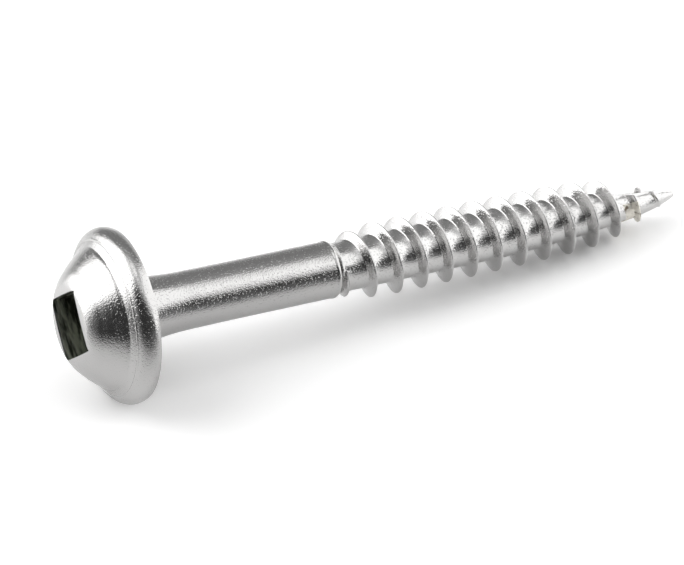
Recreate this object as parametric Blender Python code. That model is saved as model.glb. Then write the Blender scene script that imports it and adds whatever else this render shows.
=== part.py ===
"""Deck screw with a domed washer head, a square drive socket and a coarse right-hand thread.

The screw is drawn along its own axis, with the flat underside of the washer at zero and the
point at +X. It is then laid down on the washer rim and the thread, the way it comes to rest.
"""
import math

import bmesh
import bpy
from mathutils import Matrix, Vector

MM = 0.001
FACETS = 36

WASHER_RADIUS = 4.97 * MM
WASHER_EDGE = 4.86 * MM
WASHER_FRONT = -0.60 * MM
WASHER_SWELL = 0.09 * MM
EDGE_SWELL = 0.05 * MM
BEAD_INNER = (-1.27 * MM, 4.35 * MM)
BEAD_OUTER = (-1.225 * MM, 4.505 * MM)
BEAD_SWELL = 0.022 * MM
GROOVE_RADIUS = 4.08 * MM
GROOVE_FRONT = -1.45 * MM
GROOVE_DIP = 0.024 * MM
FLANK_RADIUS = 3.97 * MM
FLANK_FRONT = -1.60 * MM
FLANK_SWELL = 0.03 * MM
CROWN_FRONT = -3.36 * MM
CROWN_EDGE = (-3.28 * MM, 2.25 * MM)
CROWN_SWELL = 0.02 * MM
SHOULDER_EDGE = (-2.64 * MM, 3.10 * MM)
SHOULDER_SWELL = 0.065 * MM
HEAD_OFFSET = 0.048 * MM
HEAD_OFFSET_TURN = math.radians(-33.5)

SHANK_RADIUS = 1.625 * MM
SHANK_START = 6.5 * MM
SHANK_END = (12.72 * MM, 1.565 * MM)
SHOULDER_END = 13.00 * MM
RING_START = 12.35 * MM
RING_TOP = (12.50 * MM, 1.66 * MM)
NECK_START = (2.0 * MM, 1.74 * MM)
NECK_END = (3.8 * MM, 1.645 * MM)
NECK_DIP = 0.022 * MM
FILLET_RADIUS = 2.35 * MM
FILLET_END = (0.70 * MM, 1.90 * MM)
FILLET_DIP = 0.12 * MM

CORE_RADIUS = 1.43 * MM
TIP_RADIUS = 0.09 * MM
LENGTH = 35.0 * MM
NOSE_LENGTH = 0.2 * MM
TAPER_START = 23.0 * MM
CORE_CURVE = 1.5
CORE_BLUNT = 0.6

PITCH = 1.59 * MM
CREST_RADIUS = 2.13 * MM
CREST_FLAT = 0.045 * MM
CREST_ROUNDING = 0.01 * MM
FLANK_REACH = 0.27 * MM
WIDEST_SHARE = 1.3
THREAD_PHASE = 0.751 * MM
CREST_LEAN = 0.014
CREST_LEAN_START = 22.0 * MM
CREST_TAPER_START = 27.8 * MM
CREST_CURVE = 2.0
WORN_PLACE = 32.5 * MM
WORN_REACH = 0.6 * MM
WORN_DEPTH = 0.13 * MM
RUN_IN = (12.95 * MM, 15.5 * MM)
RUN_IN_POWER = 0.5
RUN_OUT = (33.9 * MM, 34.8 * MM)

BEND_START = 32.0 * MM
BEND_HEIGHT = 0.12 * MM
BEND_TURN = math.radians(141.0)

SOCKET_HALF = 1.705 * MM
SOCKET_MOUTH = -3.39 * MM
SOCKET_FLOOR = -0.85 * MM
SOCKET_FLOOR_HALF = 1.60 * MM
SOCKET_POINT = -0.40 * MM
SOCKET_TURN = math.radians(46.4)
CUTTER_CLEARANCE = 0.5 * MM

TRIM_START = (30.6 * MM, 0.98 * MM)
TRIM_FOOT = (31.1 * MM, 0.73 * MM)
TRIM_END = (35.3 * MM, 0.45 * MM)
TRIM_TURN = math.radians(150.0)
TRIM_REACH = 2.77 * MM

STEEL_COLOUR = (0.63, 0.62, 0.60, 1.0)
STEEL_ROUGHNESS = 0.22
SHARP_ANGLE = math.radians(32.0)
STEEPEST_REST = math.radians(15.0)


def clear_scene():
    for old in list(bpy.data.objects):
        bpy.data.objects.remove(old, do_unlink=True)


def arc(start, end, bulge, steps):
    """Points after start up to end on an arc; a positive bulge swells to the left of travel."""
    ax, ay = start
    bx, by = end
    chord = math.hypot(bx - ax, by - ay)
    radius = (chord * chord / 4 + bulge * bulge) / (2 * abs(bulge))
    side = math.copysign(1.0, bulge)
    nx, ny = -(by - ay) / chord * side, (bx - ax) / chord * side
    cx = (ax + bx) / 2 - nx * (radius - abs(bulge))
    cy = (ay + by) / 2 - ny * (radius - abs(bulge))
    first = math.atan2(ay - cy, ax - cx)
    turn = math.atan2(by - cy, bx - cx) - first
    turn = (turn + math.pi) % (2 * math.pi) - math.pi
    angles = [first + turn * step / steps for step in range(1, steps + 1)]
    return [(cx + radius * math.cos(a), cy + radius * math.sin(a)) for a in angles]


def head_outline():
    """(axial place, radius) from the crown to the end of the shank."""
    line = [(CROWN_FRONT, 0.0)]
    line += arc(line[-1], CROWN_EDGE, CROWN_SWELL, 2)
    line += arc(line[-1], SHOULDER_EDGE, SHOULDER_SWELL, 4)
    line += arc(line[-1], (FLANK_FRONT, FLANK_RADIUS), FLANK_SWELL, 3)
    line += arc(line[-1], (GROOVE_FRONT, GROOVE_RADIUS), -GROOVE_DIP, 2)
    line += [BEAD_INNER]
    line += arc(line[-1], BEAD_OUTER, BEAD_SWELL, 2)
    line += arc(line[-1], (WASHER_FRONT, WASHER_RADIUS), WASHER_SWELL, 3)
    line += arc(line[-1], (0.0, WASHER_EDGE), EDGE_SWELL, 3)
    line += [(0.0, FILLET_RADIUS)]
    line += arc(line[-1], FILLET_END, -FILLET_DIP, 3)
    line += [NECK_START]
    line += arc(line[-1], NECK_END, -NECK_DIP, 3)
    line += [(SHANK_START, SHANK_RADIUS), (RING_START, SHANK_RADIUS)]
    line += [RING_TOP, SHANK_END]
    return line


def core_radius(place):
    if place <= TAPER_START:
        return CORE_RADIUS
    run = min(1.0, (place - TAPER_START) / (LENGTH - TAPER_START))
    return TIP_RADIUS + (CORE_RADIUS - TIP_RADIUS) * (1.0 - run ** CORE_CURVE) ** CORE_BLUNT


def thread_height(place):
    """Height of the crest above the core, rising after the shoulder and dying out at the point."""
    run = max(0.0, (place - CREST_TAPER_START) / (LENGTH - CREST_TAPER_START))
    crest = CREST_RADIUS - CREST_LEAN * max(0.0, place - CREST_LEAN_START)
    crest *= 1.0 - min(1.0, run) ** CREST_CURVE
    crest -= WORN_DEPTH * math.exp(-((place - WORN_PLACE) / WORN_REACH) ** 2)
    rise = min(1.0, max(0.0, (place - RUN_IN[0]) / (RUN_IN[1] - RUN_IN[0]))) ** RUN_IN_POWER
    fall = min(1.0, max(0.0, (RUN_OUT[1] - place) / (RUN_OUT[1] - RUN_OUT[0])))
    return max(0.0, crest - core_radius(place)) * rise * fall


def thread_section(centre):
    """Axial place and radius of each line of one turn: mid root, foot, crest, crest, foot."""
    height = thread_height(centre)
    crest = core_radius(centre) + height
    share = height / (CREST_RADIUS - CORE_RADIUS)
    rounding = CREST_ROUNDING * min(1.0, share)
    reach = CREST_FLAT + (FLANK_REACH - CREST_FLAT) * min(WIDEST_SHARE, share)
    section = [(centre - PITCH / 2, core_radius(centre - PITCH / 2))]
    section += [(centre - reach, core_radius(centre - reach))]
    section += [(centre - CREST_FLAT, crest - rounding)]
    section += [(centre, crest)]
    section += [(centre + CREST_FLAT, crest - rounding)]
    section += [(centre + reach, core_radius(centre + reach))]
    return section


def around(place, radius, column):
    """Point on the turned body; column 0 and the last one straddle the side that faces the floor."""
    angle = 2 * math.pi * (column + 0.5) / FACETS
    return Vector((place, radius * math.sin(angle), -radius * math.cos(angle)))


def add_ring(bm, place, radius):
    return [bm.verts.new(around(place, radius, column)) for column in range(FACETS)]


def add_face(bm, corners):
    kept = [v for i, v in enumerate(corners) if v is not corners[i - 1]]
    if len(kept) > 2:
        bm.faces.new(kept)


def bridge(bm, first, second):
    for i in range(FACETS):
        j = (i + 1) % FACETS
        add_face(bm, [first[i], first[j], second[j], second[i]])


def cap(bm, ring, place, flip):
    centre = bm.verts.new((place, 0.0, 0.0))
    for i in range(FACETS):
        j = (i + 1) % FACETS
        add_face(bm, [centre, ring[i], ring[j]] if flip else [centre, ring[j], ring[i]])


def thread_lines(bm, first_ring, last_ring, last_place):
    """Rows of points that follow the helix; what falls outside the two rings joins them."""
    turns = range(int(SHOULDER_END / PITCH) - 1, int(last_place / PITCH) + 3)
    rows = []
    for turn in turns:
        block = [[] for _ in range(6)]
        for column in range(FACETS):
            centre = THREAD_PHASE + PITCH * (turn + (column + 0.5) / FACETS)
            for row, (place, radius) in zip(block, thread_section(centre)):
                if place <= SHOULDER_END:
                    row.append(first_ring[column])
                elif place >= last_place:
                    row.append(last_ring[column])
                else:
                    row.append(bm.verts.new(around(place, radius, column)))
        rows += block
    return rows


def add_thread(bm, first_ring, last_ring, last_place):
    rows = thread_lines(bm, first_ring, last_ring, last_place)
    ahead = 6
    for j in range(len(rows) - ahead - 1):
        for i in range(FACETS - 1):
            add_face(bm, [rows[j][i], rows[j][i + 1], rows[j + 1][i + 1], rows[j + 1][i]])
        seam = [rows[j][-1], rows[j + ahead][0], rows[j + ahead + 1][0], rows[j + 1][-1]]
        add_face(bm, seam)


def turned_body():
    bm = bmesh.new()
    outline = head_outline()
    ring = add_ring(bm, *outline[1])
    cap(bm, ring, outline[0][0], flip=True)
    for place, radius in outline[2:] + [(SHOULDER_END, CORE_RADIUS)]:
        following = add_ring(bm, place, radius)
        bridge(bm, ring, following)
        ring = following
    last_place = LENGTH - NOSE_LENGTH
    last_ring = add_ring(bm, last_place, core_radius(last_place))
    add_thread(bm, ring, last_ring, last_place)
    cap(bm, last_ring, LENGTH, flip=False)
    bmesh.ops.recalc_face_normals(bm, faces=bm.faces)
    shift_head(bm)
    bend_point(bm)
    return bm


def new_object(name, bm):
    mesh = bpy.data.meshes.new(name)
    bm.to_mesh(mesh)
    bm.free()
    thing = bpy.data.objects.new(name, mesh)
    bpy.context.scene.collection.objects.link(thing)
    return thing


def off_axis(distance, turn):
    return Vector((0.0, distance * math.sin(turn), -distance * math.cos(turn)))


def shift_head(bm):
    """The head sits a little off the shank's axis, and the fillet takes up the difference."""
    for v in bm.verts:
        share = min(1.0, max(0.0, 1.0 - v.co.x / FILLET_END[0]))
        v.co += off_axis(HEAD_OFFSET * share, HEAD_OFFSET_TURN)


def bend_point(bm):
    """The last stretch of the point curves a little off the axis."""
    for v in bm.verts:
        run = max(0.0, (v.co.x - BEND_START) / (LENGTH - BEND_START))
        v.co += off_axis(BEND_HEIGHT * run * run, BEND_TURN)


def hide_cutter(cutter):
    cutter.hide_render = True
    cutter.display_type = 'WIRE'
    cutter.hide_set(True)


def socket_cutter():
    """Square driver hole that narrows inward and ends in a shallow pyramid."""
    bm = bmesh.new()
    slope = (SOCKET_HALF - SOCKET_FLOOR_HALF) / (SOCKET_FLOOR - SOCKET_MOUTH)
    outer_place = CROWN_FRONT - CUTTER_CLEARANCE
    outer_half = SOCKET_HALF + slope * (SOCKET_MOUTH - outer_place)
    rings = []
    for place, half in ((outer_place, outer_half), (SOCKET_FLOOR, SOCKET_FLOOR_HALF)):
        corners = ((-half, -half), (half, -half), (half, half), (-half, half))
        rings.append([bm.verts.new((place, y, z)) for y, z in corners])
    point = bm.verts.new((SOCKET_POINT, 0.0, 0.0))
    for i in range(4):
        j = (i + 1) % 4
        bm.faces.new((rings[0][i], rings[0][j], rings[1][j], rings[1][i]))
        bm.faces.new((rings[1][i], rings[1][j], point))
    bm.faces.new(rings[0][::-1])
    bmesh.ops.recalc_face_normals(bm, faces=bm.faces)
    bm.transform(Matrix.Rotation(SOCKET_TURN, 4, 'X'))
    bm.transform(Matrix.Translation(off_axis(HEAD_OFFSET, HEAD_OFFSET_TURN)))
    return new_object('socket_cutter', bm)


def trim_cutter():
    """Block that trims one side of the point flat and takes the last crests off there."""
    bm = bmesh.new()
    line = [TRIM_START, TRIM_FOOT, TRIM_END, (TRIM_END[0], TRIM_REACH), (TRIM_START[0], TRIM_REACH)]
    sides = [[bm.verts.new((place, y, -radius)) for place, radius in line] for y in (-TRIM_REACH, TRIM_REACH)]
    for i in range(len(line)):
        j = (i + 1) % len(line)
        bm.faces.new((sides[0][i], sides[0][j], sides[1][j], sides[1][i]))
    bm.faces.new(sides[0][::-1])
    bm.faces.new(sides[1])
    bmesh.ops.recalc_face_normals(bm, faces=bm.faces)
    bm.transform(Matrix.Rotation(TRIM_TURN, 4, 'X'))
    return new_object('trim_cutter', bm)


def cut(body, cutter):
    change = body.modifiers.new(cutter.name, 'BOOLEAN')
    change.operation = 'DIFFERENCE'
    change.solver = 'EXACT'
    change.object = cutter


def steel():
    material = bpy.data.materials.new('stainless_steel')
    material.use_nodes = True
    shader = material.node_tree.nodes['Principled BSDF']
    shader.inputs['Base Color'].default_value = STEEL_COLOUR
    shader.inputs['Metallic'].default_value = 1.0
    shader.inputs['Roughness'].default_value = STEEL_ROUGHNESS
    return material


def rest_matrix(points):
    """Tilt that brings the thread down onto the floor the washer rim stands on, then centres it."""
    def lowest(tilt, keep):
        return min(-p.x * math.sin(tilt) + p.z * math.cos(tilt) for p in points if keep(p.x))
    low, high = 0.0, STEEPEST_REST
    for _ in range(40):
        tilt = (low + high) / 2
        if lowest(tilt, lambda x: x < SHOULDER_END) < lowest(tilt, lambda x: x > SHOULDER_END):
            low = tilt
        else:
            high = tilt
    turn = Matrix.Rotation(low, 4, 'Y')
    laid = [turn @ p for p in points]
    middle = [(min(p[i] for p in laid) + max(p[i] for p in laid)) / 2 for i in (0, 1)]
    floor = min(p.z for p in laid)
    return Matrix.Translation((-middle[0], -middle[1], -floor)) @ turn


def build():
    clear_scene()
    body = new_object('screw', turned_body())
    cutters = [socket_cutter(), trim_cutter()]
    for cutter in cutters:
        cut(body, cutter)
    place = rest_matrix([v.co.copy() for v in body.data.vertices])
    for thing in [body] + cutters:
        thing.data.transform(place)
    for cutter in cutters:
        hide_cutter(cutter)
    for face in body.data.polygons:
        face.use_smooth = True
    body.data.set_sharp_from_angle(angle=SHARP_ANGLE)
    body.data.materials.append(steel())


build()
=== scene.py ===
# deck screw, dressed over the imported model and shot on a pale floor
import math
import bmesh
import bpy
from mathutils import Matrix, Vector, noise


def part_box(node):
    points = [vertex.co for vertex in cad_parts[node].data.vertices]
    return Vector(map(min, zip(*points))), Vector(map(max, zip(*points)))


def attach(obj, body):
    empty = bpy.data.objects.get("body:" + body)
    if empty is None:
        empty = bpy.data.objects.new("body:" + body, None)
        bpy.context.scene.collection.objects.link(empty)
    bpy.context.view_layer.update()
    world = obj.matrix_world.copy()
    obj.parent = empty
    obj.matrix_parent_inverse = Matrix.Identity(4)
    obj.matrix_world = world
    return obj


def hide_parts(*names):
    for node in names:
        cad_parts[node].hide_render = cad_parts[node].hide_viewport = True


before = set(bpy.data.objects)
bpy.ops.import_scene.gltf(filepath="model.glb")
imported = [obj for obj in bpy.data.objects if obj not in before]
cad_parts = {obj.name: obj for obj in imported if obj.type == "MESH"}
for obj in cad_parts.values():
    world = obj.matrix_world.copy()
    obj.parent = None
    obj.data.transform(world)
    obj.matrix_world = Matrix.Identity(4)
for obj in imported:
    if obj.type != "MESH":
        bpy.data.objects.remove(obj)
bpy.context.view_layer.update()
print("frame loaded")

mm = 0.001


# head, lengths along the screw start at the washer's underside and grow to the point
head = {
    "crownPlace": -3.36, "crownEdge": (-3.28, 2.25), "crownSwell": 0.02,
    "shoulder": (-2.64, 3.10), "shoulderSwell": 0.065,
    "flankFoot": (-1.60, 3.97), "flankSwell": 0.03,
    "groove": (-1.45, 4.08), "grooveDip": 0.024,
    "beadInner": (-1.27, 4.35), "beadInnerSwell": 0.004, "beadOuter": (-1.225, 4.505), "beadSwell": 0.034,
    "rim": (-0.60, 4.97), "rimSwell": 0.09,
    "underRadius": 4.86, "underSwell": 0.05,
    "offset": 0.048, "offsetTurn": -33.5,
}

shank = {
    "filletRadius": 2.35, "filletEnd": (0.70, 1.90), "filletDip": 0.12,
    "neckStart": (2.0, 1.74), "neckEnd": (3.8, 1.645), "neckDip": 0.022, "straight": 6.5,
    "radius": 1.625, "ring": 12.50, "ringHeight": 0.035, "ringWidth": 0.14, "end": 12.72, "shoulderEnd": 13.0,
}

thread = {
    "core": 1.43, "crest": 2.13, "pitch": 1.59, "phase": 0.751,
    "crestFlat": 0.045, "flankReach": 0.27, "rootFillet": 0.07,
    "runIn": (12.95, 15.5), "runOut": (33.9, 34.8),
    "length": 35.0, "tipRadius": 0.09, "taperStart": 23.0, "coreCurve": 1.5, "coreBlunt": 0.6,
    "crestLean": 0.014, "crestLeanStart": 22.0, "crestTaperStart": 27.8, "crestCurve": 2.0,
    "wornPlace": 32.5, "wornReach": 0.6, "wornDepth": 0.13,
    "bendStart": 32.0, "bend": 0.12, "bendTurn": 141.0,
}

# flat side of the point, where the last crests are trimmed off
trim = {"start": (30.6, 0.98), "foot": (31.1, 0.73), "end": (35.3, 0.45), "outer": 2.8, "turn": 150.0}

socket = {
    "half": 1.705, "mouth": -3.39, "floor": -0.85, "floorHalf": 1.60,
    "point": -0.40, "turn": 46.4, "corner": 0.04,
    "wornFrom": -3.24, "wornSlope": 0.7,
}

mesh = {"columns": 180}


# points on an arc from a to b, a positive swell bows to the left of travel
def arcPoints(a, b, swell, steps):
    chord = math.hypot(b[0] - a[0], b[1] - a[1])
    radius = (chord * chord / 4 + swell * swell) / (2 * abs(swell))
    side = math.copysign(1.0, swell)
    nx, ny = -(b[1] - a[1]) / chord * side, (b[0] - a[0]) / chord * side
    cx = (a[0] + b[0]) / 2 - nx * (radius - abs(swell))
    cy = (a[1] + b[1]) / 2 - ny * (radius - abs(swell))
    first = math.atan2(a[1] - cy, a[0] - cx)
    turn = math.atan2(b[1] - cy, b[0] - cx) - first
    turn = (turn + math.pi) % (2 * math.pi) - math.pi
    angles = [first + turn * i / steps for i in range(1, steps + 1)]
    return [(cx + radius * math.cos(g), cy + radius * math.sin(g)) for g in angles]


def headLine():
    h, s = head, shank
    line = [(h["crownPlace"], 0.0)]
    line += arcPoints(line[-1], h["crownEdge"], h["crownSwell"], 10)
    line += arcPoints(line[-1], h["shoulder"], h["shoulderSwell"], 12)
    line += arcPoints(line[-1], h["flankFoot"], h["flankSwell"], 10)
    line += arcPoints(line[-1], h["groove"], -h["grooveDip"], 6)
    line += arcPoints(line[-1], h["beadInner"], h["beadInnerSwell"], 4)
    line += arcPoints(line[-1], h["beadOuter"], h["beadSwell"], 8)
    line += arcPoints(line[-1], h["rim"], h["rimSwell"], 12)
    line += arcPoints(line[-1], (0.0, h["underRadius"]), h["underSwell"], 12)
    line += [(0.0, 4.2), (0.0, 3.2), (0.0, s["filletRadius"])]
    line += arcPoints(line[-1], s["filletEnd"], -s["filletDip"], 8)
    line += arcPoints(line[-1], s["neckStart"], -0.01, 3)
    line += arcPoints(line[-1], s["neckEnd"], -s["neckDip"], 10)
    line += arcPoints(line[-1], (s["straight"], s["radius"]), -0.003, 4)
    steps = [s["straight"] + (s["ring"] - s["ringWidth"] - s["straight"]) * i / 5 for i in range(1, 6)]
    line += [(place, s["radius"]) for place in steps]
    line += arcPoints(line[-1], (s["ring"], s["radius"] + s["ringHeight"]), -0.008, 3)
    line += arcPoints(line[-1], (s["end"], s["radius"] - 0.06), 0.02, 4)
    line += arcPoints(line[-1], (s["shoulderEnd"], thread["core"]), -0.02, 4)
    return line


def coreRadius(place):
    t = thread
    if place <= t["taperStart"]:
        return t["core"]
    run = min(1.0, (place - t["taperStart"]) / (t["length"] - t["taperStart"]))
    return t["tipRadius"] + (t["core"] - t["tipRadius"]) * (1.0 - run ** t["coreCurve"]) ** t["coreBlunt"]


def crestHeight(place):
    t = thread
    run = max(0.0, (place - t["crestTaperStart"]) / (t["length"] - t["crestTaperStart"]))
    crest = t["crest"] - t["crestLean"] * max(0.0, place - t["crestLeanStart"])
    crest *= 1.0 - min(1.0, run) ** t["crestCurve"]
    crest -= t["wornDepth"] * math.exp(-((place - t["wornPlace"]) / t["wornReach"]) ** 2)
    rise = min(1.0, max(0.0, (place - t["runIn"][0]) / (t["runIn"][1] - t["runIn"][0]))) ** 0.5
    fall = min(1.0, max(0.0, (t["runOut"][1] - place) / (t["runOut"][1] - t["runOut"][0])))
    return max(0.0, crest - coreRadius(place)) * rise * fall


# between the core below this point and the crest, by the share of the height that it has climbed
def flankRadius(centre, away, up, height):
    foot = coreRadius(centre + away)
    if height <= 0:
        return foot
    share = min(1.0, up / height)
    return foot * (1 - share) + (coreRadius(centre) + height) * share


# one pitch of the thread around its crest, as (place, radius)
def threadSection(centre):
    t = thread
    height = crestHeight(centre)
    part = height / (t["crest"] - t["core"])
    flat = t["crestFlat"]
    reach = flat * 2 + (t["flankReach"] - flat * 2) * min(1.3, part)
    fillet = t["rootFillet"] * min(1.0, part + 0.05)
    points = [(centre - t["pitch"] / 2, coreRadius(centre - t["pitch"] / 2))]
    side = []
    side.append((reach + fillet, 0.0))
    side.append((reach + fillet * 0.35, height * 0.02 + fillet * 0.10))
    side.append((reach - fillet * 0.10, height * 0.05 + fillet * 0.45))
    side.append((flat + (reach - flat) * 0.5, height * 0.5))
    side.append((flat * 1.25, height * 0.94))
    side.append((flat * 0.75, height * 0.985))
    for away, up in side:
        points.append((centre - away, flankRadius(centre, -away, up, height)))
    points.append((centre, coreRadius(centre) + height))
    for away, up in reversed(side):
        points.append((centre + away, flankRadius(centre, away, up, height)))
    return points


def pointAround(place, radius, column):
    angle = 2 * math.pi * (column + 0.5) / mesh["columns"]
    return Vector((place * mm, radius * math.sin(angle) * mm, -radius * math.cos(angle) * mm))


def addFace(bm, corners):
    kept = [v for i, v in enumerate(corners) if v is not corners[i - 1]]
    if len(kept) > 2:
        bm.faces.new(kept)


def addRing(bm, place, radius):
    return [bm.verts.new(pointAround(place, radius, c)) for c in range(mesh["columns"])]


def joinRings(bm, first, second):
    for i in range(len(first)):
        j = (i + 1) % len(first)
        addFace(bm, [first[i], first[j], second[j], second[i]])


def closeRing(bm, ring, place):
    centre = bm.verts.new((place * mm, 0.0, 0.0))
    for i in range(len(ring)):
        addFace(bm, [centre, ring[i], ring[(i + 1) % len(ring)]])


# rows follow the helix, and what falls past either end ring joins it
def threadRows(bm, firstRing, lastRing, lastPlace):
    t = thread
    count = len(threadSection(20.0))
    rows = []
    for turn in range(int(shank["shoulderEnd"] / t["pitch"]) - 1, int(lastPlace / t["pitch"]) + 3):
        block = [[] for _ in range(count)]
        for column in range(mesh["columns"]):
            centre = t["phase"] + t["pitch"] * (turn + (column + 0.5) / mesh["columns"])
            for row, (place, radius) in zip(block, threadSection(centre)):
                if place <= shank["shoulderEnd"]:
                    row.append(firstRing[column])
                elif place >= lastPlace:
                    row.append(lastRing[column])
                else:
                    row.append(bm.verts.new(pointAround(place, radius, column)))
        rows += block
    return rows, count


def addThread(bm, firstRing, lastRing, lastPlace):
    rows, ahead = threadRows(bm, firstRing, lastRing, lastPlace)
    for j in range(len(rows) - ahead - 1):
        for i in range(mesh["columns"] - 1):
            addFace(bm, [rows[j][i], rows[j][i + 1], rows[j + 1][i + 1], rows[j + 1][i]])
        addFace(bm, [rows[j][-1], rows[j + ahead][0], rows[j + ahead + 1][0], rows[j + 1][-1]])


def newObject(name, bm):
    data = bpy.data.meshes.new(name)
    bm.to_mesh(data)
    bm.free()
    piece = bpy.data.objects.new(name, data)
    bpy.context.scene.collection.objects.link(piece)
    return piece


def offAxis(distance, turn):
    return Vector((0.0, math.sin(math.radians(turn)), -math.cos(math.radians(turn)))) * distance * mm


# the head sits a little off the shank's axis
def shiftHead(bm):
    for v in bm.verts:
        share = min(1.0, max(0.0, 1.0 - v.co.x / mm / shank["filletEnd"][0]))
        v.co += offAxis(head["offset"] * share, head["offsetTurn"])


# the last stretch of the point curves a little off the axis
def bendPoint(bm):
    t = thread
    for v in bm.verts:
        run = max(0.0, (v.co.x / mm - t["bendStart"]) / (t["length"] - t["bendStart"]))
        v.co += offAxis(t["bend"] * run * run, t["bendTurn"])


def screwBody():
    bm = bmesh.new()
    line = headLine()
    ring = addRing(bm, *line[1])
    closeRing(bm, ring, line[0][0])
    for place, radius in line[2:]:
        following = addRing(bm, place, radius)
        joinRings(bm, ring, following)
        ring = following
    lastPlace = thread["length"] - 0.2
    lastRing = addRing(bm, lastPlace, coreRadius(lastPlace))
    addThread(bm, ring, lastRing, lastPlace)
    nose = addRing(bm, thread["length"] - 0.05, coreRadius(lastPlace) * 0.75)
    joinRings(bm, lastRing, nose)
    closeRing(bm, nose, thread["length"])
    bmesh.ops.recalc_face_normals(bm, faces=bm.faces)
    shiftHead(bm)
    bendPoint(bm)
    return newObject("deckScrew", bm)


# square driver hole, narrowing inward, with rounded corners and a pyramid floor
def socketCutter():
    s = socket
    slope = (s["half"] - s["floorHalf"]) / (s["floor"] - s["mouth"])
    outer = head["crownPlace"] - 0.5
    edge = s["half"] + slope * (s["mouth"] - s["wornFrom"])
    bm = bmesh.new()
    rings = []
    worn = edge + s["wornSlope"] * (s["wornFrom"] - outer)
    for place, half in ((outer, worn), (s["wornFrom"], edge), (s["floor"], s["floorHalf"])):
        ring = []
        for quarter in range(4):
            for step in range(5):
                y = half - s["corner"] + s["corner"] * math.cos(math.radians(90 * step / 4))
                z = half - s["corner"] + s["corner"] * math.sin(math.radians(90 * step / 4))
                q = math.radians(90 * quarter)
                ring.append((place, y * math.cos(q) - z * math.sin(q), y * math.sin(q) + z * math.cos(q)))
        rings.append([bm.verts.new(Vector(p) * mm) for p in ring])
    joinRings(bm, rings[0], rings[1])
    joinRings(bm, rings[1], rings[2])
    closeRing(bm, rings[2], s["point"])
    bm.faces.new(rings[0])
    bmesh.ops.recalc_face_normals(bm, faces=bm.faces)
    bm.transform(Matrix.Rotation(math.radians(s["turn"]), 4, 'X'))
    bm.transform(Matrix.Translation(offAxis(head["offset"], head["offsetTurn"])))
    return newObject("socketCutter", bm)


def trimCutter():
    t = trim
    line = [t["start"], t["foot"], t["end"], (t["end"][0], t["outer"]), (t["start"][0], t["outer"])]
    bm = bmesh.new()
    sides = []
    for y in (-t["outer"], t["outer"]):
        sides.append([bm.verts.new(Vector((place, y, -radius)) * mm) for place, radius in line])
    joinRings(bm, sides[0], sides[1])
    bm.faces.new(sides[0])
    bm.faces.new(sides[1])
    bmesh.ops.recalc_face_normals(bm, faces=bm.faces)
    bm.transform(Matrix.Rotation(math.radians(t["turn"]), 4, 'X'))
    return newObject("trimCutter", bm)


# metal left standing where the point was trimmed, place along the screw, height and turn around it
burr = {
    "place": 32.75, "height": 0.74, "turn": 148.0,
    "size": (0.22, 0.15, 0.17), "uneven": 0.04, "unevenSize": 0.12,
}


def burrLump():
    b = burr
    bm = bmesh.new()
    bmesh.ops.create_icosphere(bm, subdivisions=4, radius=1.0)
    for v in bm.verts:
        push = 1.0 + b["uneven"] / b["size"][1] * noise.noise(v.co * b["size"][0] / b["unevenSize"] * 2)
        v.co = Vector([v.co[i] * b["size"][i] * push * mm for i in range(3)])
        v.co += Vector((b["place"], 0.0, -b["height"])) * mm
    bm.transform(Matrix.Rotation(math.radians(b["turn"]), 4, 'X'))
    return newObject("burrLump", bm)


def cutWith(piece, cutter, operation='DIFFERENCE'):
    change = piece.modifiers.new(cutter.name, 'BOOLEAN')
    change.operation = operation
    change.solver = 'EXACT'
    change.object = cutter
    depsgraph = bpy.context.evaluated_depsgraph_get()
    done = bpy.data.meshes.new_from_object(piece.evaluated_get(depsgraph))
    piece.modifiers.clear()
    piece.data = done
    bpy.data.objects.remove(cutter, do_unlink=True)


# the screw dips to its point, and its box sits on the CAD node's box
lying = {"dip": 5.8978}


def layDown(piece):
    piece.data.transform(Matrix.Rotation(math.radians(lying["dip"]), 4, 'Y'))
    low = [min(v.co[i] for v in piece.data.vertices) for i in range(3)]
    high = [max(v.co[i] for v in piece.data.vertices) for i in range(3)]
    cadLow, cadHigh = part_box("screw")
    shift = [(cadLow[i] + cadHigh[i] - low[i] - high[i]) / 2 for i in range(2)]
    piece.data.transform(Matrix.Translation((shift[0], shift[1], cadLow[2] - low[2])))


# dents are the small sharp marks of tumbling, weaker on the dome, grain the fine unevenness between them, ripple
# the slow one, streak runs along the screw, and the thread is painted a little brighter than the head and shank,
# painted light for the stronger light by the point
steelFinish = {
    "colour": (0.53, 0.525, 0.52, 1.0), "threadLitColour": (0.60, 0.595, 0.59, 1.0), "threadX": (-4.0, 0.0),
    "roughness": (0.07, 0.20),
    "dentSize": 0.11, "dentRange": (0.58, 0.74), "dentDepth": 0.0075, "domeDents": 0.4, "domeX": (-18.6, -16.6),
    "grainSize": 0.09, "grainDepth": 0.011,
    "rippleSize": 0.9, "rippleDepth": 0.012,
    "streakSize": 0.10, "streakLength": 14.0, "streakDepth": 0.003,
}


def mathNode(tree, operation, a, b=None, c=None):
    node = tree.nodes.new("ShaderNodeMath")
    node.operation = operation
    for socketIn, value in zip(node.inputs, (a, b, c)):
        if value is None:
            continue
        if isinstance(value, (int, float)):
            socketIn.default_value = value
        else:
            tree.links.new(value, socketIn)
    return node.outputs[0]


# carries one pair of values over to another, smooth between them
def rangeNode(tree, value, source, target):
    node = tree.nodes.new("ShaderNodeMapRange")
    node.interpolation_type = 'SMOOTHSTEP'
    node.inputs["From Min"].default_value = source[0]
    node.inputs["From Max"].default_value = source[1]
    node.inputs["To Min"].default_value = target[0]
    node.inputs["To Max"].default_value = target[1]
    tree.links.new(value, node.inputs["Value"])
    return node.outputs["Result"]


def noiseNode(tree, where, size, detail):
    node = tree.nodes.new("ShaderNodeTexNoise")
    node.inputs["Scale"].default_value = 1.0 / (size * mm)
    node.inputs["Detail"].default_value = detail
    tree.links.new(where, node.inputs["Vector"])
    return node.outputs["Fac"]


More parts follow.
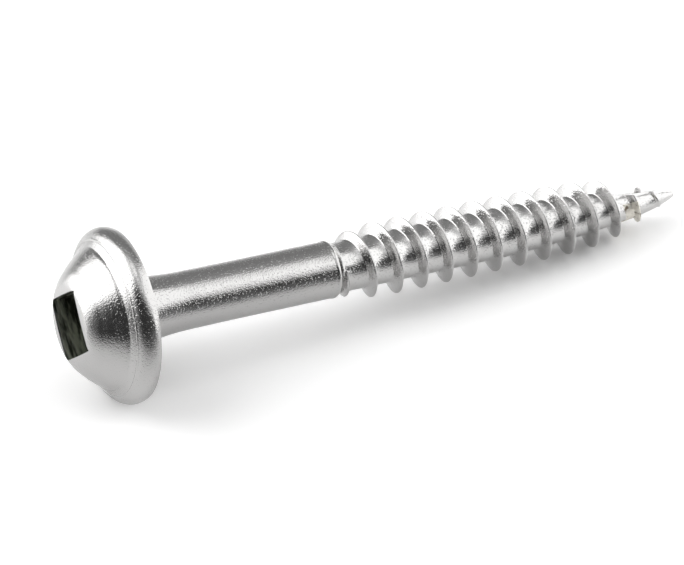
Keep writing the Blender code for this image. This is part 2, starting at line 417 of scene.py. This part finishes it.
def bumpNode(tree, height, depth, below=None, strength=None):
    node = tree.nodes.new("ShaderNodeBump")
    node.inputs["Strength"].default_value = 1.0
    node.inputs["Distance"].default_value = depth * mm
    tree.links.new(height, node.inputs["Height"])
    if strength is not None:
        tree.links.new(strength, node.inputs["Strength"])
    if below is not None:
        tree.links.new(below, node.inputs["Normal"])
    return node.outputs["Normal"]


def steelMaterial():
    s = steelFinish
    material = bpy.data.materials.new("brightSteel")
    material.use_nodes = True
    tree = material.node_tree
    shader = tree.nodes["Principled BSDF"]
    shader.inputs["Metallic"].default_value = 1.0
    where = tree.nodes.new("ShaderNodeTexCoord").outputs["Object"]
    split = tree.nodes.new("ShaderNodeSeparateXYZ")
    tree.links.new(where, split.inputs[0])
    colour = tree.nodes.new("ShaderNodeMix")
    colour.data_type = 'RGBA'
    # from the thread's start the steel is painted brighter, painted light for the stronger light by the point
    ends = [v * mm for v in s["threadX"]]
    tree.links.new(rangeNode(tree, split.outputs["X"], ends, (0.0, 1.0)), colour.inputs["Factor"])
    colour.inputs[6].default_value = s["colour"]
    colour.inputs[7].default_value = s["threadLitColour"]
    tree.links.new(colour.outputs[2], shader.inputs["Base Color"])
    along = tree.nodes.new("ShaderNodeMapping")
    along.inputs["Rotation"].default_value = (0.0, -math.radians(lying["dip"]), 0.0)
    along.inputs["Scale"].default_value = (1.0 / s["streakLength"], 1.0, 1.0)
    tree.links.new(where, along.inputs["Vector"])
    grain = noiseNode(tree, where, s["grainSize"], 2.0)
    ripple = noiseNode(tree, where, s["rippleSize"], 2.0)
    streak = noiseNode(tree, along.outputs["Vector"], s["streakSize"], 1.0)
    rough = tree.nodes.new("ShaderNodeMapRange")
    rough.inputs["From Min"].default_value = 0.3
    rough.inputs["From Max"].default_value = 0.7
    rough.inputs["To Min"].default_value = s["roughness"][0]
    rough.inputs["To Max"].default_value = s["roughness"][1]
    tree.links.new(ripple, rough.inputs["Value"])
    tree.links.new(rough.outputs["Result"], shader.inputs["Roughness"])
    dent = rangeNode(tree, noiseNode(tree, where, s["dentSize"], 1.0), s["dentRange"], (1.0, 0.0))
    ends = [v * mm for v in s["domeX"]]
    dented = rangeNode(tree, split.outputs["X"], ends, (s["domeDents"], 1.0))
    normal = bumpNode(tree, ripple, s["rippleDepth"])
    normal = bumpNode(tree, dent, s["dentDepth"], normal, dented)
    normal = bumpNode(tree, streak, s["streakDepth"], normal)
    normal = bumpNode(tree, grain, s["grainDepth"], normal)
    tree.links.new(normal, shader.inputs["Normal"])
    return material


# torn metal between the last two crests, and the broached walls of the socket, whose near-black share is painted
# shade of the recess
roughFinish = {
    "tornFrom": 31.25, "tornTo": 32.55, "tornTurn": -60.0, "tornReach": 75.0,
    "tornColour": (0.82, 0.79, 0.72, 1.0), "tornDark": (0.20, 0.17, 0.13, 1.0), "tornMarks": (0.34, 0.45),
    "tornRoughness": 0.40, "tornSize": 0.22, "tornStretch": (1.0, 1.0), "tornDepth": 0.10,
    # the walls' broaching marks are real, and their near-black wallDark is painted shade of the recess
    "wallColour": (0.58, 0.60, 0.53, 1.0), "wallDark": (0.06, 0.065, 0.05, 1.0), "wallMarks": (0.40, 0.60),
    "wallRoughness": 0.36, "wallSize": 0.34, "wallStretch": (1.0, 5.0), "wallDepth": 0.06,
}


# kind is torn or wall, and stretch draws the marks out along and across the screw
def roughMaterial(name, kind):
    f = roughFinish
    along, across = f[kind + "Stretch"]
    material = bpy.data.materials.new(name)
    material.use_nodes = True
    tree = material.node_tree
    shader = tree.nodes["Principled BSDF"]
    shader.inputs["Metallic"].default_value = 1.0
    shader.inputs["Roughness"].default_value = f[kind + "Roughness"]
    where = tree.nodes.new("ShaderNodeMapping")
    where.inputs["Rotation"].default_value = (0.0, -math.radians(lying["dip"]), 0.0)
    where.inputs["Scale"].default_value = (1.0 / along, 1.0 / across, 1.0 / across)
    tree.links.new(tree.nodes.new("ShaderNodeTexCoord").outputs["Object"], where.inputs["Vector"])
    marks = noiseNode(tree, where.outputs["Vector"], f[kind + "Size"], 4.0)
    colour = tree.nodes.new("ShaderNodeMix")
    colour.data_type = 'RGBA'
    tree.links.new(rangeNode(tree, marks, f[kind + "Marks"], (0.0, 1.0)), colour.inputs["Factor"])
    colour.inputs[6].default_value = f[kind + "Dark"]
    colour.inputs[7].default_value = f[kind + "Colour"]
    tree.links.new(colour.outputs[2], shader.inputs["Base Color"])
    tree.links.new(bumpNode(tree, marks, f[kind + "Depth"]), shader.inputs["Normal"])
    return material


# material 1 goes on the torn metal, material 2 on the socket's walls and floor
def markRough(piece):
    f, s = roughFinish, socket
    for face in piece.data.polygons:
        place = face.center.x / mm
        last = max(piece.data.vertices[i].co.x for i in face.vertices) / mm
        away = math.hypot(face.center.y, face.center.z) / mm
        turn = math.degrees(math.atan2(face.center.y, -face.center.z))
        if f["tornFrom"] < place and last < f["tornTo"] and abs(turn - f["tornTurn"]) < f["tornReach"]:
            face.material_index = 1
        if place < -0.3 and away < s["half"] * 1.45 and (abs(face.normal.x) < 0.4 or place > s["floor"] - 0.1):
            face.material_index = 2


screw = screwBody()
cutWith(screw, socketCutter())
cutWith(screw, trimCutter())
cutWith(screw, burrLump(), 'UNION')
screw.data.materials.clear()
for material in (steelMaterial(), roughMaterial("tornSteel", "torn"), roughMaterial("broachedSteelShaded", "wall")):
    screw.data.materials.append(material)
markRough(screw)
layDown(screw)
for face in screw.data.polygons:
    face.use_smooth = True
screw.data.set_sharp_from_angle(angle=math.radians(35))
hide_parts("screw")
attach(screw, "root")
print("screw made,", len(screw.data.polygons), "faces")


# camera as the photo was taken, places in millimetres
photoView = {"lens": 263.16, "place": (-101.684, -198.414, 174.653), "down": 37.8089, "turn": -26.6113}


def takeCamera():
    data = bpy.data.cameras.new("photoCamera")
    data.lens = photoView["lens"]
    data.sensor_width = 36.0
    data.clip_start = 0.01
    data.clip_end = 20.0
    camera = bpy.data.objects.new("photoCamera", data)
    camera.location = Vector(photoView["place"]) * mm
    camera.rotation_euler = (math.radians(90 - photoView["down"]), 0.0, math.radians(photoView["turn"]))
    bpy.context.scene.collection.objects.link(camera)
    bpy.context.scene.camera = camera


# light as headings in degrees: 0 is behind the screw, 90 past its point, -90 past its head
# each box gives its two edges at the horizon, how far they lean per degree of height, and how soft they are
studio = {
    "dark": 0.06, "top": 2.8, "topFrom": 32, "topFull": 90, "topPower": 3.3, "headings": (-125, 235),
    "boxes": [
        {"name": "pointSide", "level": 2.05, "heading": (69, 136), "lean": (0.24, 0.22), "soft": (9, 5),
         "height": (-20, 62), "fade": 10},
        {"name": "headSide", "level": 3.2, "heading": (-75.5, -20.5), "lean": (-0.46, 0.0), "soft": (12, 7),
         "height": (-14, 65.5), "fade": 10},
        {"name": "front", "level": 0.8, "heading": (136, 120), "lean": (0.22, 1.25), "soft": (7, 12),
         "height": (24, 70), "fade": 8},
        {"name": "behind", "level": 0.32, "heading": (-25, 85), "lean": (0.0, 0.0), "soft": (10, 10),
         "height": (-30, 66), "fade": 14},
        {"name": "lowBehind", "level": 0.85, "heading": (30, 80), "lean": (1.0, 0.0), "soft": (20, 10),
         "height": (-20, 22), "fade": 6},
        {"name": "frontHaze", "level": 0.02, "heading": (112, 196), "lean": (0.0, 0.0), "soft": (10, 20),
         "height": (-20, 44), "fade": 12},
        {"name": "frontLow", "level": 0.14, "heading": (120, 172), "lean": (0.0, 0.0), "soft": (8, 14),
         "height": (-20, 9), "fade": 8},
        {"name": "headHaze", "level": 0.3, "heading": (-106, -60), "lean": (0.0, 0.0), "soft": (12, 10),
         "height": (4, 40), "fade": 12},
    ],
}


# 0 at one angle, 1 at the other
def easeNode(tree, value, zero, one):
    ends = (0.0, 1.0) if zero < one else (1.0, 0.0)
    return rangeNode(tree, value, [math.radians(v) for v in sorted((zero, one))], ends)


def studioWorld():
    world = bpy.data.worlds.new("studio")
    world.use_nodes = True
    tree = world.node_tree
    tree.nodes.clear()
    where = tree.nodes.new("ShaderNodeTexCoord")
    split = tree.nodes.new("ShaderNodeSeparateXYZ")
    tree.links.new(where.outputs["Generated"], split.inputs[0])
    heading = mathNode(tree, 'ARCTAN2', split.outputs["X"], split.outputs["Y"])
    first, last = [math.radians(v) for v in studio["headings"]]
    heading = mathNode(tree, 'WRAP', heading, last, first)
    height = mathNode(tree, 'ARCSINE', split.outputs["Z"])
    light = tree.nodes.new("ShaderNodeMapRange")
    light.inputs["From Min"].default_value = math.radians(studio["topFrom"])
    light.inputs["From Max"].default_value = math.radians(studio["topFull"])
    tree.links.new(height, light.inputs["Value"])
    light = mathNode(tree, 'POWER', light.outputs["Result"], studio["topPower"])
    light = mathNode(tree, 'MULTIPLY', light, studio["top"])
    light = mathNode(tree, 'ADD', light, studio["dark"])
    for box in studio["boxes"]:
        part = None
        for edge, lean, soft, side in zip(box["heading"], box["lean"], box["soft"], (1, -1)):
            leant = mathNode(tree, 'SUBTRACT', heading, mathNode(tree, 'MULTIPLY', height, lean))
            eased = easeNode(tree, leant, edge - side * soft, edge + side * soft)
            part = eased if part is None else mathNode(tree, 'MULTIPLY', part, eased)
        bottom, top = box["height"]
        part = mathNode(tree, 'MULTIPLY', part, easeNode(tree, height, bottom - box["fade"], bottom + box["fade"]))
        part = mathNode(tree, 'MULTIPLY', part, easeNode(tree, height, top + box["fade"], top - box["fade"]))
        light = mathNode(tree, 'ADD', light, mathNode(tree, 'MULTIPLY', part, box["level"]))
    path = tree.nodes.new("ShaderNodeLightPath")
    background = tree.nodes.new("ShaderNodeBackground")
    seen = tree.nodes.new("ShaderNodeMix")
    tree.links.new(path.outputs["Is Camera Ray"], seen.inputs["Factor"])
    tree.links.new(light, seen.inputs["A"])
    seen.inputs["B"].default_value = 1.0
    tree.links.new(seen.outputs["Result"], background.inputs["Strength"])
    out = tree.nodes.new("ShaderNodeOutputWorld")
    tree.links.new(background.outputs[0], out.inputs[0])
    bpy.context.scene.world = world


# white cards stand close to the point and show in the steel alone; places in millimetres, from one foot of
# a card to the other, and the heights of its two edges
nearCards = [
    {"name": "tallCard", "feet": ((27.3, 14.2), (36.0, 8.0)), "height": (0.5, 26.0), "level": 1.8},
    {"name": "lowCard", "feet": ((28.5, 33.0), (27.3, 14.2)), "height": (0.5, 17.0), "level": 1.3},
]


def whiteCard(c):
    bottom, top = c["height"]
    bm = bmesh.new()
    corners = [(*foot, bottom) for foot in c["feet"]] + [(*foot, top) for foot in reversed(c["feet"])]
    bm.faces.new([bm.verts.new(Vector(corner) * mm) for corner in corners])
    card = newObject(c["name"], bm)
    material = bpy.data.materials.new(c["name"])
    material.use_nodes = True
    tree = material.node_tree
    tree.nodes.clear()
    glow = tree.nodes.new("ShaderNodeEmission")
    glow.inputs["Strength"].default_value = c["level"]
    out = tree.nodes.new("ShaderNodeOutputMaterial")
    tree.links.new(glow.outputs[0], out.inputs[0])
    card.data.materials.append(material)
    card.visible_camera = False
    card.visible_diffuse = False
    card.visible_shadow = False


# colour lights the screw, seenColour is what the camera sees and mirrorColour what the steel shows; in the steel
# alone the floor has painted light, brighter by the point and at the back, and painted shade, darker far in front
# of the screw and far out by the head, each over a stretch in millimetres, and it has a soft sheen
floorFinish = {
    "radius": 900.0, "colour": 0.82, "seenColour": 1.25, "mirrorColour": 0.99,
    "sheenRoughness": 0.18, "sheenIor": 1.45,
    "backPaintedLight": 0.2, "backY": (3.0, 12.0),
    "pointPaintedLight": 0.16, "pointX": (-4.0, 14.0),
    "front": 0.35, "frontY": (0.0, -38.0),
    "out": 0.55, "outX": (-27.0, -50.0), "outY": (12.0, 4.0),
}


# 0 to 1 over a stretch given in millimetres
def stretchNode(tree, value, ends):
    low, high = sorted(ends)
    levels = (0.0, 1.0) if ends[0] < ends[1] else (1.0, 0.0)
    return rangeNode(tree, value, (low * mm, high * mm), levels)


# pale floor that the camera sees as white, and that keeps the screw's shadow
def paleFloor():
    f = floorFinish
    bm = bmesh.new()
    bmesh.ops.create_circle(bm, cap_ends=True, segments=128, radius=f["radius"] * mm)
    floor = newObject("floor", bm)
    material = bpy.data.materials.new("paleFloor")
    material.use_nodes = True
    tree = material.node_tree
    tree.nodes.clear()
    path = tree.nodes.new("ShaderNodeLightPath")
    mirrored = mathNode(tree, 'MAXIMUM', path.outputs["Is Glossy Ray"], path.outputs["Is Transmission Ray"])
    where = tree.nodes.new("ShaderNodeTexCoord")
    split = tree.nodes.new("ShaderNodeSeparateXYZ")
    tree.links.new(where.outputs["Object"], split.inputs[0])
    across, deep = split.outputs["X"], split.outputs["Y"]
    # painted light and painted shade that only the steel shows in the floor: brighter at the back and by the
    # point, darker far in front and far out by the head
    back = mathNode(tree, 'MULTIPLY', stretchNode(tree, deep, f["backY"]), f["backPaintedLight"])
    point = mathNode(tree, 'MULTIPLY', stretchNode(tree, across, f["pointX"]), f["pointPaintedLight"])
    front = mathNode(tree, 'MULTIPLY', stretchNode(tree, deep, f["frontY"]), 1.0 - f["front"])
    out = mathNode(tree, 'MULTIPLY', stretchNode(tree, across, f["outX"]), 1.0 - f["out"])
    out = mathNode(tree, 'MULTIPLY', out, stretchNode(tree, deep, f["outY"]))
    dark = mathNode(tree, 'MAXIMUM', front, out)
    keep = mathNode(tree, 'SUBTRACT', 1.0, mathNode(tree, 'MULTIPLY', dark, mirrored))
    seen = mathNode(tree, 'MULTIPLY', path.outputs["Is Camera Ray"], f["seenColour"] - f["colour"])
    shown = mathNode(tree, 'MULTIPLY', mirrored, mathNode(tree, 'ADD', point, f["mirrorColour"] - f["colour"]))
    level = mathNode(tree, 'ADD', mathNode(tree, 'ADD', seen, shown), f["colour"])
    level = mathNode(tree, 'MULTIPLY', level, keep)
    matt = tree.nodes.new("ShaderNodeBsdfDiffuse")
    tree.links.new(level, matt.inputs["Color"])
    glow = tree.nodes.new("ShaderNodeEmission")
    tree.links.new(mathNode(tree, 'MULTIPLY', mirrored, back), glow.inputs["Strength"])
    both = tree.nodes.new("ShaderNodeAddShader")
    tree.links.new(matt.outputs[0], both.inputs[0])
    tree.links.new(glow.outputs[0], both.inputs[1])
    sheen = tree.nodes.new("ShaderNodeBsdfAnisotropic")
    sheen.inputs["Roughness"].default_value = f["sheenRoughness"]
    fresnel = tree.nodes.new("ShaderNodeFresnel")
    fresnel.inputs["IOR"].default_value = f["sheenIor"]
    coated = tree.nodes.new("ShaderNodeMixShader")
    tree.links.new(mathNode(tree, 'MULTIPLY', mirrored, fresnel.outputs[0]), coated.inputs[0])
    tree.links.new(both.outputs[0], coated.inputs[1])
    tree.links.new(sheen.outputs[0], coated.inputs[2])
    out = tree.nodes.new("ShaderNodeOutputMaterial")
    tree.links.new(coated.outputs[0], out.inputs[0])
    floor.data.materials.append(material)


takeCamera()
studioWorld()
for nearCard in nearCards:
    whiteCard(nearCard)
paleFloor()
view = bpy.context.scene.view_settings
view.view_transform = 'Standard'
print("studio set")

print("finished")
